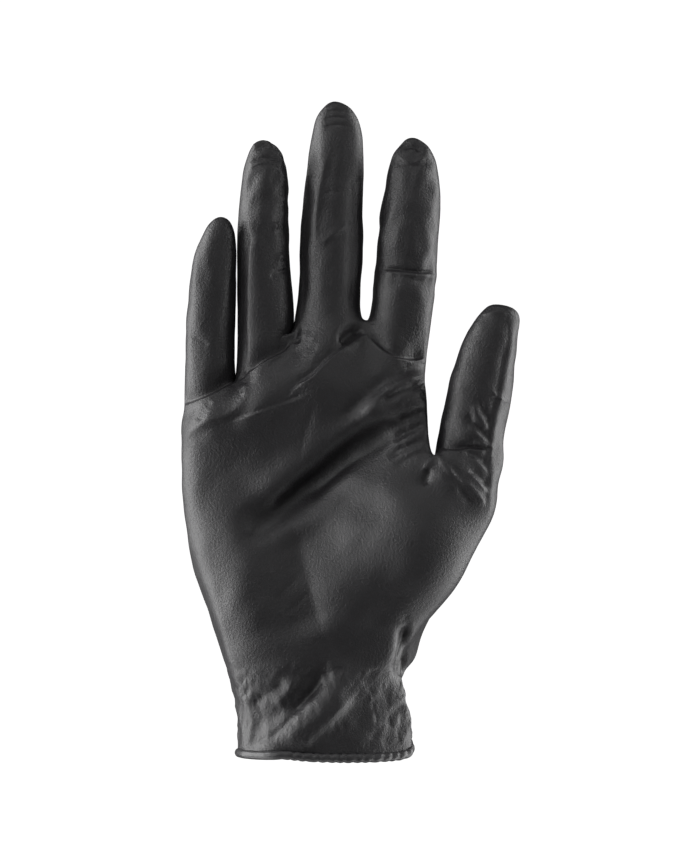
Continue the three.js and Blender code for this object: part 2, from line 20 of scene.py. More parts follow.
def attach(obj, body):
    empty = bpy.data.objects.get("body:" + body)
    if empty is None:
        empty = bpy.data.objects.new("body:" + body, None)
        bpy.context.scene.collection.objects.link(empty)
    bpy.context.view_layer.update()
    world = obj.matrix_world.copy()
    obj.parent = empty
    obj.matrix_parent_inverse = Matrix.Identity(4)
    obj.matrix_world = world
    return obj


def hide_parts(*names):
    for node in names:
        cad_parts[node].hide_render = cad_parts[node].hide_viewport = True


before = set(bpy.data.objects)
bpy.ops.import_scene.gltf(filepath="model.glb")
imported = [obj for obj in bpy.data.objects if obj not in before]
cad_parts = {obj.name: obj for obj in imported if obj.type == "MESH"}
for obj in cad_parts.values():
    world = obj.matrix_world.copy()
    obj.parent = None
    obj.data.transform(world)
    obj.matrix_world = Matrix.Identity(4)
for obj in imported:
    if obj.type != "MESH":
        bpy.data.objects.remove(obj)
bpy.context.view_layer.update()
MM = 0.001

# %% [markdown]
# ## The photographer's set
#
# A black glove shows its form only by what it reflects. The usual set has a long lens, far back
# and level with the middle of the glove, tall soft boxes on each side and little light from the
# front, so the sides of each finger shine and the faces stay dark. Three low lamps stand for the
# light that a pale floor throws back up. The floor curves up into a wall all round, so there is
# no horizon from any side. It could be lit by the same lamps, but it would then pour light on the
# black film from everywhere. Here the paper is lit on its own, and the film neither mirrors it
# nor takes light from it.

# %% Camera
# The picture's size in pixels, where the glove's origin lies in it, and what one pixel spans.
FRAME_WIDTH, FRAME_HEIGHT = 700, 862
ORIGIN_COLUMN, ORIGIN_ROW = 325, 753
PIXEL = 0.364 * MM
CAMERA_DISTANCE = 2.4
SENSOR = 0.036

view_x = (FRAME_WIDTH / 2 - ORIGIN_COLUMN) * PIXEL
view_z = (ORIGIN_ROW - FRAME_HEIGHT / 2) * PIXEL
camera = bpy.data.objects.new("camera", bpy.data.cameras.new("camera"))
camera.data.sensor_fit = "HORIZONTAL"
camera.data.sensor_width = SENSOR / MM
camera.data.lens = SENSOR * CAMERA_DISTANCE / (FRAME_WIDTH * PIXEL) / MM
camera.location = (view_x, -CAMERA_DISTANCE, view_z)
camera.rotation_euler = (math.pi / 2, 0, 0)
bpy.context.scene.collection.objects.link(camera)
bpy.context.scene.camera = camera
print("lens, mm", round(camera.data.lens, 1))

# %% Soft boxes
WORLD_STRENGTH = 0.1
# name: place, width, height, watts
SOFT_BOXES = {
    "left box": ((-1.10, -0.10, 0.25), 0.5, 1.3, 15),
    "left rim": ((-1.03, 0.38, 0.25), 0.5, 1.3, 8),
    "left fill": ((-0.84, -0.71, 0.25), 0.5, 1.3, 4.3),
    "right box": ((1.10, -0.10, 0.25), 0.5, 1.3, 7.5),
    "right rim": ((1.03, 0.38, 0.25), 0.5, 1.3, 11),
    "right fill": ((0.63, -0.90, 0.25), 0.5, 1.3, 1.0),
    "top fill": ((0.0, -0.50, 1.35), 1.0, 0.6, 2.5),
    "front fill": ((-0.25, -1.25, 0.80), 1.0, 0.5, 1.5),
    "left bounce": ((-0.60, 0.05, -0.42), 0.7, 0.6, 3.0),
    "right bounce": ((0.60, 0.05, -0.42), 0.7, 0.6, 4.0),
    "under bounce": ((0.0, -0.05, -0.42), 0.8, 0.3, 0.8),
}


def soft_box(name, place, width, height, watts):
    """A rectangular lamp that faces the middle of the glove."""
    lamp = bpy.data.lights.new(name, "AREA")
    lamp.shape = "RECTANGLE"
    lamp.size, lamp.size_y, lamp.energy = width, height, watts
    box = bpy.data.objects.new(name, lamp)
    box.location = place
    aim = Vector((view_x, 0, view_z)) - Vector(place)
    box.rotation_euler = aim.to_track_quat("-Z", "Y").to_euler()
    box.visible_camera = False
    bpy.context.scene.collection.objects.link(box)
    return box


for name, (place, width, height, watts) in SOFT_BOXES.items():
    soft_box(name, place, width, height, watts)

world = bpy.data.worlds.new("studio")
world.use_nodes = True
background = world.node_tree.nodes["Background"].inputs
background["Color"].default_value = (1, 1, 1, 1)
background["Strength"].default_value = WORLD_STRENGTH
bpy.context.scene.world = world
bpy.context.scene.view_settings.view_transform = "Standard"
print("lamps", len(SOFT_BOXES))

# %% Floor and wall in one sweep
FLOOR_DROP = 0.45
FLOOR_RADIUS = 3.2
SWEEP_RADIUS = 1.6
WALL_TOP = 4.5
ROUND_STEPS = 96
SWEEP_STEPS = 14


def sweep_profile():
    """Radius and height from the floor's middle, out, round the curve and up the wall."""
    corners = [(0.0, 0.0), (FLOOR_RADIUS / 2, 0.0)]
    for step in range(SWEEP_STEPS + 1):
        turn = math.pi / 2 * step / SWEEP_STEPS
        corners.append((
            FLOOR_RADIUS + SWEEP_RADIUS * math.sin(turn),
            SWEEP_RADIUS * (1 - math.cos(turn)),
        ))
    return corners + [(FLOOR_RADIUS + SWEEP_RADIUS, WALL_TOP)]


def sweep_mesh():
    """The profile spun once round the upright axis."""
    floor = bmesh.new()
    profile = [floor.verts.new((radius, 0, height)) for radius, height in sweep_profile()]
    edges = [floor.edges.new(pair) for pair in zip(profile, profile[1:])]
    bmesh.ops.spin(
        floor, geom=profile + edges, axis=(0, 0, 1), cent=(0, 0, 0),
        steps=ROUND_STEPS, angle=2 * math.pi,
    )
    bmesh.ops.remove_doubles(floor, verts=floor.verts, dist=MM)
    bmesh.ops.recalc_face_normals(floor, faces=floor.faces)
    bmesh.ops.translate(floor, verts=floor.verts, vec=(0, 0, -FLOOR_DROP))
    mesh = bpy.data.meshes.new("studio sweep")
    floor.to_mesh(mesh)
    floor.free()
    mesh.shade_smooth()
    return mesh


# %% White paper on the sweep
PAPER_WHITE = 0.9
PAPER_ROUGHNESS = 0.9
PAPER_GLOW = 0.95


def lit_paper():
    """Matt white paper that is lit on its own, and so stays white while the lamps are low."""
    paper = bpy.data.materials.new("lit white paper")
    paper.use_nodes = True
    shader = paper.node_tree.nodes["Principled BSDF"].inputs
    shader["Base Color"].default_value = (PAPER_WHITE, PAPER_WHITE, PAPER_WHITE, 1)
    shader["Roughness"].default_value = PAPER_ROUGHNESS
    shader["Emission Color"].default_value = (1, 1, 1, 1)
    shader["Emission Strength"].default_value = PAPER_GLOW
    return paper


sweep = bpy.data.objects.new("studio_sweep", sweep_mesh())
sweep.data.materials.append(lit_paper())
bpy.context.scene.collection.objects.link(sweep)
sweep.visible_glossy = sweep.visible_diffuse = False
print("sweep faces", len(sweep.data.polygons))

# %% [markdown]
# ## The film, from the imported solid
#
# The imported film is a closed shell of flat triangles, outer skin, inner skin and a narrow hem
# between them. It could be smoothed by a high Subdivision Surface, but that spends as many faces
# inside as outside, and still has too few where a fold is crisp. Here the triangles are merged
# and joined in pairs to quads, one gentle subdivision gives a smooth surface through the packed
# points, and then only the outer skin is split further, most of all along the folds.

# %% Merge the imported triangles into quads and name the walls
OUTSIDE, INSIDE, HEM = 0, 1, 2
MERGE = 0.001 * MM
HEM_TOP = 12 * MM
HEM_SLOPE = -0.7


def merged_quads(node):
    """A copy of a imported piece, its loose triangles merged and joined in pairs to quads."""
    copy = bmesh.new()
    copy.from_mesh(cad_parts[node].data)
    bmesh.ops.remove_doubles(copy, verts=copy.verts, dist=MERGE)
    bmesh.ops.join_triangles(
        copy, faces=copy.faces, angle_face_threshold=math.pi, angle_shape_threshold=math.pi,
        topology_influence=1.0,
    )
    copy.normal_update()
    return copy


def name_walls(film):
    """Writes on each face whether it is outside, inside or hem, and creases the hem's two edges."""
    wall = film.faces.layers.int.new("wall")
    crease = film.edges.layers.float.new("crease_edge")
    for face in film.faces:
        low = face.calc_center_median().z < HEM_TOP
        face[wall] = HEM if low and face.normal.z < HEM_SLOPE else INSIDE
    reached = [max(film.faces, key=lambda face: face.calc_center_median().z)]
    reached[0][wall] = OUTSIDE
    while reached:
        face = reached.pop()
        for edge in face.edges:
            for other in edge.link_faces:
                if other[wall] == INSIDE:
                    other[wall] = OUTSIDE
                    reached.append(other)
    for edge in film.edges:
        if len({face[wall] == HEM for face in edge.link_faces}) == 2:
            edge[crease] = 1.0


film_cage = merged_quads("glove_film")
name_walls(film_cage)
film_mesh = bpy.data.meshes.new("film cage")
film_cage.to_mesh(film_mesh)
film_cage.free()
print("film faces", len(film_mesh.polygons))

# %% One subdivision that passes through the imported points
FIT_ROUNDS = 4


def coordinates(mesh):
    """Every point of a mesh, one row each."""
    flat = np.empty(len(mesh.vertices) * 3)
    mesh.vertices.foreach_get("co", flat)
    return flat.reshape(-1, 3)


def subdivided_through(mesh):
    """The mesh after one subdivision, its own points moved out until the result meets them."""
    cage = bpy.data.objects.new("cage", mesh)
    bpy.context.scene.collection.objects.link(cage)
    modifier = cage.modifiers.new("one step", "SUBSURF")
    modifier.levels = modifier.render_levels = 1
    wanted = coordinates(mesh)
    placed = wanted.copy()
    for _ in range(FIT_ROUNDS):
        bpy.context.view_layer.update()
        reached = coordinates(cage.evaluated_get(bpy.context.evaluated_depsgraph_get()).data)
        placed += wanted - reached[: len(wanted)]
        mesh.vertices.foreach_set("co", placed.ravel())
        mesh.update()
    bpy.context.view_layer.update()
    smooth = bpy.data.meshes.new_from_object(
        cage.evaluated_get(bpy.context.evaluated_depsgraph_get())
    )
    bpy.data.objects.remove(cage)
    off = np.linalg.norm(coordinates(smooth)[: len(wanted)] - wanted, axis=1).max() / MM
    print("smooth faces", len(smooth.polygons), "furthest off the packed points, mm", off.round(3))
    return smooth


smooth_mesh = subdivided_through(film_mesh)

# %% [markdown]
# ## Splitting faces where detail is wanted
#
# A fold of half a millimetre needs faces smaller than that, and the smooth palm beside it
# doesn't. So only chosen faces are split. A chosen quad becomes four. Its new points lie on the
# curve that the normals at both ends ask for, so the finer mesh stays round. A neighbour that
# isn't chosen only takes the new points into its own edge.

# %% The skin as arrays
class Skin:
    """Points, normals, faces and the wall that each face belongs to."""

    def __init__(self, mesh):
        self.points = coordinates(mesh)
        self.faces = [tuple(face.vertices) for face in mesh.polygons]
        self.walls = [item.value for item in mesh.attributes["wall"].data]
        self.normals = np.zeros_like(self.points)
        for face, flat, wall in zip(self.faces, mesh.polygons, self.walls):
            if wall != HEM:
                self.normals[list(face)] += np.array(flat.normal) * flat.area
        lengths = np.linalg.norm(self.normals, axis=1)
        self.normals[lengths == 0] = (0, 0, -1)
        self.normals /= np.where(lengths == 0, 1, lengths)[:, None]

    def of(self, kind):
        """The faces of one wall."""
        return [face for face, wall in zip(self.faces, self.walls) if wall == kind]

    def centres(self):
        """The middle of each face."""
        return np.array([self.points[list(face)].mean(axis=0) for face in self.faces])


# %% Split the chosen faces
def along(direction, normal):
    """The part of each direction that lies along its normal."""
    return (direction * normal).sum(axis=1)[:, None] * normal


def split_faces(skin, chosen):
    """Every chosen quad made four, and every other face given its neighbours' new points."""
    chosen = [bool(wish) and len(face) == 4 for wish, face in zip(chosen, skin.faces)]
    halves = {}
    count = len(skin.points)
    for face, wish in zip(skin.faces, chosen):
        if wish:
            for start, end in zip(face, face[1:] + face[:1]):
                halves.setdefault((min(start, end), max(start, end)), count + len(halves))
    starts, ends = np.array(list(halves)).T
    reach = skin.points[ends] - skin.points[starts]
    bulge = along(reach, skin.normals[ends]) - along(reach, skin.normals[starts])
    between = (skin.points[starts] + skin.points[ends]) / 2 + bulge / 8
    points = np.vstack([skin.points, between])
    normals = np.vstack([skin.normals, skin.normals[starts] + skin.normals[ends]])
    faces, walls, hearts, tilts = [], [], [], []
    count = len(points)
    for face, wish, wall in zip(skin.faces, chosen, skin.walls):
        mids = [
            halves.get((min(start, end), max(start, end)))
            for start, end in zip(face, face[1:] + face[:1])
        ]
        if wish:
            corners, edges = points[list(face)], points[mids]
            heart = count + len(hearts)
            hearts.append(edges.sum(axis=0) / 2 - corners.sum(axis=0) / 4)
            tilts.append(normals[list(face)].sum(axis=0))
            for corner in range(4):
                faces.append((face[corner], mids[corner], heart, mids[corner - 1]))
                walls.append(wall)
        else:
            ring = [point for pair in zip(face, mids) for point in pair if point is not None]
            faces.append(tuple(ring))
            walls.append(wall)
    skin.points = np.vstack([points, hearts])
    skin.normals = np.vstack([normals, tilts])
    skin.normals /= np.linalg.norm(skin.normals, axis=1)[:, None]
    skin.faces, skin.walls = faces, walls


# %% Split the outer skin
NEAR_HEM = 5 * MM
BACK_OF_HAND = (38 * MM, 128 * MM)
BACK_FACING = 0.6


def wants_split(skin):
    """The outer skin but for the smooth back of the hand, and the hem's edge of the inner one."""
    for face, wall, centre in zip(skin.faces, skin.walls, skin.centres()):
        smooth_back = (
            skin.normals[list(face), 1].mean() > BACK_FACING
            and BACK_OF_HAND[0] < centre[2] < BACK_OF_HAND[1]
        )
        yield centre[2] < NEAR_HEM if wall == INSIDE else not smooth_back


skin = Skin(smooth_mesh)
split_faces(skin, list(wants_split(skin)))
print("faces after the whole outer skin is split", len(skin.faces))

# %% [markdown]
# ## The folds
#
# Thin film folds in a few ways. Where two parts bend toward each other it makes a lip, a crisp
# crest with a groove on one side. Where it is squeezed it makes a valley, and where it is
# stretched a taut ridge runs from one bump to the next. They could be sculpted by hand, but then
# nobody could change them. Here each fold is a line on the glove's face, in millimetres across
# and up, and a cross section with its own left and right widths. The height of every point of the
# film is the sum of the folds that pass near it.

# %% Every fold: its line, and one or two cross sections
# The line is in millimetres across and up, seen from the front, even for a fold of the back. A
# cross section is how far left of the line it lies, its rise, less than nothing for a valley, its
# width on the left and on the right, and its crest, which is crisp near 1 and round near 2.
FOLDS = {
    "little_base": ([(-52.4, 125.9), (-48.4, 127), (-44.4, 128.5), (-38.2, 131.4), (-33.1, 134.7)],
        (0, 0.9, 0.45, 3.4, 1.2), (1.3, -1.2, 2.8, 0.6, 1.5)),
    "ring_base": ([(-28.8, 137.2), (-25.1, 139.4), (-21.1, 142), (-17.1, 144.1), (-13.5, 146.3),
        (-11.3, 150)], (0, 0.8, 0.45, 3.2, 1.2), (1.3, -1.2, 2.6, 0.6, 1.5)),
    "little_crotch": ([(-31.3, 143.1), (-30.2, 138), (-29.1, 132.9)], (0, -0.5, 2, 2, 2)),
    "crotch_nub": ([(-30.2, 134.3), (-28.4, 132.1), (-28.8, 129.2)], (0, 0.4, 1, 1, 1.6)),
    "crotch_ridge": ([(-51.3, 112.8), (-49.1, 116.5), (-43, 120.5), (-35.7, 123), (-30.6, 127),
        (-28, 132.1)], (0, 0.45, 3, 1.4, 1.5), (-2.6, -0.5, 1.5, 3, 2)),
    "little_dimple": ([(-46.2, 120.1), (-43.7, 124.5), (-40.8, 128.5)], (0, -0.6, 1.5, 1.5, 2)),
    "long_crease": ([(-36, 119.8), (-28.4, 122.3), (-20, 124.9), (-10.2, 128.5), (-5.1, 131)],
        (0, 0.32, 0.7, 1.3, 1.2), (1.1, -0.25, 1, 0.7, 1.6)),
    "fan_crease": ([(-9.8, 105.9), (-8, 112.8), (-5.8, 121.2), (-3.3, 128.5)],
        (0, -0.3, 0.8, 1.2, 1.3)),
    "middle_root": ([(-11.3, 131.4), (-8, 134.3), (-4.4, 136.9), (0.7, 142), (6.6, 146.7),
        (13.5, 151.4)], (0, 0.7, 0.45, 3, 1.2), (1.3, -1.1, 2.4, 0.6, 1.5)),
    "streak_a": ([(-10.6, 146.7), (-8, 150), (-6.2, 154)], (0, 0.45, 0.9, 0.9, 1.5)),
    "streak_b": ([(-8, 144.1), (-5.1, 148.5), (-3.3, 152.5)], (0, 0.45, 0.9, 0.9, 1.5)),
    "streak_c": ([(-5.1, 142.3), (-2.5, 146.7), (-0.7, 151.1)], (0, 0.35, 0.9, 0.9, 1.5)),
    "index_base": ([(14.9, 151.4), (18.6, 148.1), (21.5, 145.6), (24.4, 143.8), (28, 142.7),
        (33.5, 142.7), (37.9, 144.9)], (0, 0.75, 0.45, 2.6, 1.2), (1.2, -1, 2.4, 0.6, 1.5)),
    "index_crotch": ([(5.5, 149.2), (9.1, 152.5), (13.5, 155.4)], (0, -3.4, 2.2, 2.2, 2)),
    "middle_crotch": ([(-10.2, 148.5), (-10.9, 152.2), (-9.5, 155.4)], (0, -1, 1.4, 1.4, 2)),
    "upper_valley": ([(1.8, 121.6), (10.2, 127.4), (16.4, 132.9), (22.6, 137.6), (28.4, 140.5),
        (34.6, 141.6)], (-1.3, -2, 1.7, 3.2, 1.6), (-5.2, 0.9, 1.8, 2.4, 2)),
    "row_a": ([(18.6, 127.4), (22.9, 129.9), (28.8, 132.9), (36.8, 136.5)],
        (-0.8, -2.1, 1.1, 1.8, 1.6)),
    "row_e": ([(26.6, 127), (30.9, 128.9), (37.1, 131.4)], (-0.8, -0.7, 0.8, 1.3, 1.5)),
    "row_b": ([(25.1, 121.2), (29.1, 123), (36.4, 125.9)], (-0.8, -1.9, 0.9, 1.8, 1.5)),
    "row_c": ([(23.7, 114.3), (28.8, 117.6), (36.8, 121.2)], (-0.8, -1.8, 0.9, 1.8, 1.5)),
    "row_d": ([(21.5, 108.1), (28, 112.1), (37.5, 116.5)], (-0.8, -1.6, 0.9, 1.8, 1.5)),
    "row_f": ([(24.4, 104.5), (30.2, 108.5), (36.8, 111.4)], (-0.8, -0.6, 0.9, 1.5, 1.6)),
    "main_valley": ([(-22.9, 85.2), (-18.2, 88.8), (-13.8, 93.2), (-8, 98.6), (-1.8, 104.1),
        (4.4, 109.6), (10.2, 113.9), (16.4, 117.6), (22.6, 120.5), (28, 122.7), (32.8, 124.5)],
        (-2.2, -2.3, 2.2, 3.6, 1.8), (4.6, 1.7, 10, 3.6, 1.8)),
    "valley_end": ([(-32.4, 80.4), (-26.6, 83.7), (-20, 87.7), (-13.8, 93.2), (-8, 98.6),
        (-1.8, 104.1)], (-1.5, -0.9, 4.5, 5, 1.8)),
    "second_valley": ([(-9.1, 92.5), (-3.6, 96.1), (1.8, 100.5), (9.1, 106.7), (18.9, 112.8),
        (26.6, 117.2)], (-1, -0.7, 1.4, 2.4, 1.6)),
    "hollow_left": ([(-0.7, 42.6), (-2.2, 48.8), (-4, 55.7), (-6.2, 64.1), (-9.1, 75),
        (-11.3, 84.1)], (0, -2.9, 18, 8.5, 1)),
    "hollow_top": ([(-9.1, 75), (1.1, 84.8), (11.6, 92.1), (28.4, 96.8)], (0, -0.25, 5, 7, 1.2)),
    "hollow_low": ([(-0.4, 38.2), (3.3, 49.1), (6.6, 59.3), (9.5, 70.3), (12, 81.2), (15.7, 92.1)],
        (0, 2, 11, 14, 2)),
    "hollow_crest": ([(0.4, 47.7), (3.3, 55.7), (7.6, 70.3), (14.2, 84.8), (20.7, 99.4),
        (24.4, 107.4)], (2.5, 2.6, 17, 19, 2)),
    "heel_valley": ([(-2.5, 35.7), (-5.5, 41.1), (-13.5, 55.7), (-20, 70.3), (-22.6, 84.8),
        (-28.4, 95.7), (-32.4, 106.7), (-35.3, 119.4)], (3, -1, 9, 8, 1.8)),
    "thenar_dip": ([(17.1, 41.1), (24.4, 52.1), (30.2, 64.8), (36, 74.6), (41.1, 84.8)],
        (0, -0.7, 9, 9, 2)),
    "heel_a": ([(-19.3, 55.7), (-14.6, 59.3), (-9.1, 65.9)], (0, -0.2, 1, 1.4, 1.6)),
    "heel_b": ([(-15.7, 50.6), (-10.6, 54.2), (-5.8, 59.3)], (0, -0.2, 1, 1.4, 1.6)),
    "wrist_edge": ([(-27.3, 30.9), (-18.2, 32.8), (-9.1, 31.7), (1.8, 33.1), (14.6, 31.3),
        (26.6, 33.9)], (0, 0.35, 1.6, 6, 1.5)),
    "web_arch": ([(34.9, 97.9), (35.7, 102.3), (38.2, 106.7), (41.1, 107.7), (44, 104.5),
        (48.4, 99), (51.7, 94.6)], (0, 0.9, 0.8, 1.4, 1.3)),
    "web_pocket": ([(36, 97.2), (36.4, 100.8), (37.5, 103.7)], (0, -1.6, 1.2, 1.2, 2)),
    "thumb_base": ([(40.8, 111.4), (46.6, 110.7), (52.8, 111.4), (59.7, 111)],
        (0, -1.1, 1.3, 0.6, 1.4), (-1.3, 0.4, 0.7, 1.4, 1.5)),
    "thumb_second": ([(41.5, 108.8), (44.8, 109.9), (48.4, 110.7)], (0, 0.4, 0.7, 0.9, 1.5)),
    "root_a": ([(49.9, 99.7), (52.8, 96.8), (55.7, 93.5), (57.9, 89.9)], (0, 0.8, 0.8, 1.2, 1.4)),
    "root_b": ([(51.7, 101.9), (55.3, 98.6), (58.6, 94.6)], (0, 0.7, 0.8, 1.1, 1.4)),
    "root_c": ([(52.8, 107.7), (56.4, 104.5), (59.3, 100.5)], (0, 0.7, 0.8, 1.2, 1.4)),
    "root_dark_a": ([(48, 96.5), (50.6, 93.5), (53.1, 90.6)], (0, -0.8, 1.1, 1.1, 1.6)),
    "root_dark_b": ([(52.1, 103.4), (55.7, 100.5), (59, 96.8)], (0, -0.8, 1, 1, 1.6)),
    "root_dark_c": ([(49.9, 109.9), (54.2, 108.1), (59, 105.2)], (0, -0.7, 1.1, 1.3, 1.6)),
    "root_dark_d": ([(43.3, 107), (46.2, 104.1), (49.5, 99.7)], (0, -0.6, 1, 1, 1.6)),
    "web_second": ([(41.1, 103), (44.8, 98.6), (48.4, 95.4)], (0, 0.6, 0.8, 1.4, 1.3)),
    "thumb_edge": ([(59, 85.2), (59.7, 93.9), (60.1, 100.8), (59.7, 106.3), (60.1, 111.7),
        (60.8, 117.6), (62.2, 124.1), (63.7, 131.4), (65.2, 139.4), (67, 148.1), (67.7, 154.7),
        (66.6, 160.5)], (0, 1.1, 3.6, 3, 1), (1.6, -0.5, 1.4, 1, 1.8)),
    "thumb_v": ([(52.1, 120.5), (55, 116.5), (57.5, 113.9), (60.1, 111.7)],
        (0, 0.9, 0.8, 1.6, 1.3)),
    "thumb_w": ([(53.9, 127), (55.3, 123), (57.5, 120.1), (59.3, 117.2)], (0, 0.7, 0.8, 1.3, 1.3)),
    "thumb_dark_v": ([(52.1, 124.1), (53.1, 120.1), (56.1, 117.6), (58.6, 115)],
        (0, -1, 1.1, 1.1, 1.6)),
    "thumb_dark_w": ([(55.7, 129.2), (57.1, 124.9), (59, 121.2), (60.4, 118.3)],
        (0, -0.9, 1.1, 1.1, 1.6)),
    "thumb_nick": ([(60.4, 131.8), (63, 129.2), (66.2, 127.4)], (0, 0.6, 0.7, 0.9, 1.4)),
    "thumb_cap": ([(56.4, 159.1), (60.1, 159.8), (63.7, 160.2), (66.6, 158)],
        (0, 0.35, 0.8, 0.8, 1.5)),
    "little_side": ([(-49.5, 150.3), (-49.1, 155.1), (-47.7, 164.2), (-47, 174), (-44.8, 186)],
        (0, 0.6, 2.6, 3, 1)),
    "little_nick": ([(-47, 151.4), (-44.8, 149.6), (-42.2, 148.1)], (0, -0.3, 0.7, 1.2, 1.4)),
    "ring_tip": ([(-26.9, 219.5), (-24.4, 221.7), (-21.8, 222.8), (-18.9, 221.7)],
        (0, 0.6, 0.7, 1.4, 1.3), (-1.5, -0.4, 0.8, 1.4, 1.6)),
    "ring_cap_a": ([(-27.3, 214.8), (-24.4, 215.9), (-21.1, 216.2), (-15.3, 215.5)],
        (0, -0.6, 0.7, 0.9, 1.4)),
    "ring_cap_b": ([(-26.9, 212.2), (-22.9, 213.7), (-19.3, 213.7), (-15.3, 212.6)],
        (0, -0.25, 0.7, 0.9, 1.4)),
    "ring_side": ([(-26.9, 137.2), (-27.3, 154), (-26.9, 164.9), (-26.6, 178.7), (-25.8, 194)],
        (0, 1, 1.4, 4.6, 1.8)),
    "ring_bump_a": ([(-18.2, 192.6), (-17.5, 190.4)], (0, 1.2, 1, 1, 2)),
    "ring_bump_b": ([(-16.7, 181.6), (-16, 179.5)], (0, 1.2, 1, 1, 2)),
    "ring_joint": ([(-20.4, 173.3), (-17.1, 174.4), (-13.1, 176.5)], (0, -0.8, 0.7, 1.5, 1.4)),
    "middle_band": ([(-3.6, 183.1), (-2.9, 192.2), (-2.2, 201.3), (-0.7, 210), (1.8, 220.2)],
        (0, 0.8, 3.6, 1.2, 1.4)),
    "middle_side": ([(9.8, 155.1), (10.2, 168.5), (10.6, 183.1), (10.2, 199.5), (9.5, 213.7)],
        (0, -0.8, 2.2, 1.6, 1.8)),
    "middle_nick": ([(-1.1, 185.3), (3.6, 188.9), (8.7, 192.9)], (0, 0.35, 1.3, 0.7, 1.3),
        (-1.6, -0.2, 0.9, 1.6, 1.6)),
    "middle_tip_a": ([(0.4, 233), (4.4, 233.7), (8, 233)], (0, -0.4, 0.7, 0.7, 1.6)),
    "middle_tip_b": ([(-0.7, 230.4), (4.4, 231.1), (8.7, 230.4)], (0, -0.4, 0.7, 0.7, 1.6)),
    "middle_tip_c": ([(-0.4, 227.5), (4.7, 228.2), (9.1, 227.5)], (0, -0.4, 0.7, 0.7, 1.6)),
    "middle_line": ([(-1.1, 203.5), (4.7, 204.2), (9.8, 204.6)], (0, -0.3, 0.7, 1, 1.4)),
    "middle_left": ([(-8.4, 159.4), (-8.4, 179.5), (-7.6, 195.8), (-6.2, 206.8)],
        (0, -0.8, 1.2, 2, 1.8)),
    "index_tip": ([(28.4, 219.1), (30.6, 220.6), (33.1, 220.2), (34.9, 218.4)],
        (0, -1, 1.3, 1, 1.7)),
    "index_arc": ([(26.6, 217.3), (29.1, 215.5), (32.8, 214.8), (37.1, 216.2)],
        (0, 0.35, 0.9, 0.9, 1.4), (-1.7, -0.4, 0.8, 1.4, 1.6)),
    "index_joint": ([(20.7, 176.2), (24.4, 175.8), (30.2, 175.4), (36.4, 175.1), (40.4, 175.1)],
        (0, -1.3, 1, 0.6, 1.4), (-1.1, 0.4, 0.6, 1.6, 1.5)),
    "index_second": ([(28.8, 173.6), (31.7, 172.5), (35.3, 171.8), (39.7, 172.2)],
        (0, -0.6, 0.9, 0.9, 1.5)),
    "cuff_dark_a": ([(-30.2, 18.6), (-26.6, 22.6), (-22.9, 25.1), (-16, 30.6)],
        (-3.4, -1.6, 1.8, 2.2, 1.5)),
    "cuff_light_a": ([(-20.7, 18.6), (-16.7, 25.1), (-13.1, 31.3)], (-3.6, 1.2, 2.4, 1.8, 1.5)),
    "cuff_dark_b": ([(-16, 17.1), (-10.2, 21.8), (-6.2, 25.8), (-2.2, 30.9)],
        (-2.8, -1.3, 1.6, 2.2, 1.5)),
    "cuff_line": ([(-24.4, 1.8), (-19.3, 4.4), (-13.8, 8.4), (-9.1, 14.2), (-4.4, 20.4),
        (0.7, 27.3)], (2.6, -1.3, 1.3, 2.8, 1.5)),
    "cuff_band": ([(-14.6, 2.9), (-9.1, 8.4), (-1.8, 16), (7.3, 25.5)], (-3.4, 2.6, 7, 3.2, 1.8)),
    "cuff_dark_c": ([(-7.3, 1.8), (0.7, 10.6), (9.8, 22.2)], (-6, -0.25, 2.6, 5, 1.8)),
    "cuff_fine_a": ([(16, 1.5), (18.6, 12), (17.1, 22.9)], (0, -0.2, 0.9, 1.5, 1.5)),
    "cuff_fine_b": ([(21.1, 0.7), (23.3, 11.3), (21.8, 25.1)], (0, -0.2, 0.9, 1.5, 1.5)),
    "cuff_fine_c": ([(25.5, 1.8), (27.3, 11.3), (25.8, 19.3)], (0, -0.2, 0.9, 1.5, 1.5)),
    "cuff_nick_a": ([(-32, 15.7), (-29.8, 20.4), (-26.9, 25.5)], (0, -0.5, 1, 1.2, 1.6)),
    "cuff_nick_b": ([(-33.5, 22.9), (-30.6, 25.1), (-27.3, 30.2)], (0, -0.4, 1, 1.2, 1.6)),
    "back_index_joint": ([(24.5, 176), (29, 177.2), (35, 177), (39, 175.5)],
        (0, -0.55, 0.9, 1.3, 1.5)),
    "back_index_lower": ([(25.5, 172.6), (30.5, 173.4), (36.5, 172.8)], (0, -0.4, 0.9, 1.1, 1.5)),
    "back_middle_joint": ([(-6, 184.5), (0, 186), (6, 186), (10.5, 184.5)],
        (0, -0.55, 0.9, 1.3, 1.5)),
    "back_middle_lower": ([(-4.5, 181), (2, 182), (8.5, 181)], (0, -0.4, 0.9, 1.1, 1.5)),
    "back_ring_joint": ([(-29, 176.5), (-24, 178), (-19, 177.6), (-15.5, 176)],
        (0, -0.5, 0.9, 1.3, 1.5)),
    "back_ring_lower": ([(-27, 173), (-22, 174), (-17.5, 173)], (0, -0.35, 0.9, 1.1, 1.5)),
    "back_little_joint": ([(-49, 159.5), (-45, 160.5), (-40, 160)], (0, -0.45, 0.9, 1.2, 1.5)),
    "back_thumb_joint": ([(55, 131), (59, 132), (64, 131)], (0, -0.5, 0.9, 1.3, 1.5)),
    "back_web_a": ([(39, 99), (33, 106), (26, 111.5), (18, 114)], (0, 0.9, 1.6, 3, 1.4)),
    "back_web_b": ([(42, 92), (35, 98), (27, 102), (19, 103.5)], (0, 0.8, 1.6, 3.2, 1.4)),
    "back_web_c": ([(37, 108), (32, 114), (27, 118.5)], (0, 0.6, 1.5, 2.4, 1.4)),
    "back_wrist_a": ([(-26, 30), (-16, 36), (-4, 44), (8, 54), (17, 66)], (0, 1.1, 1.7, 4, 1.4)),
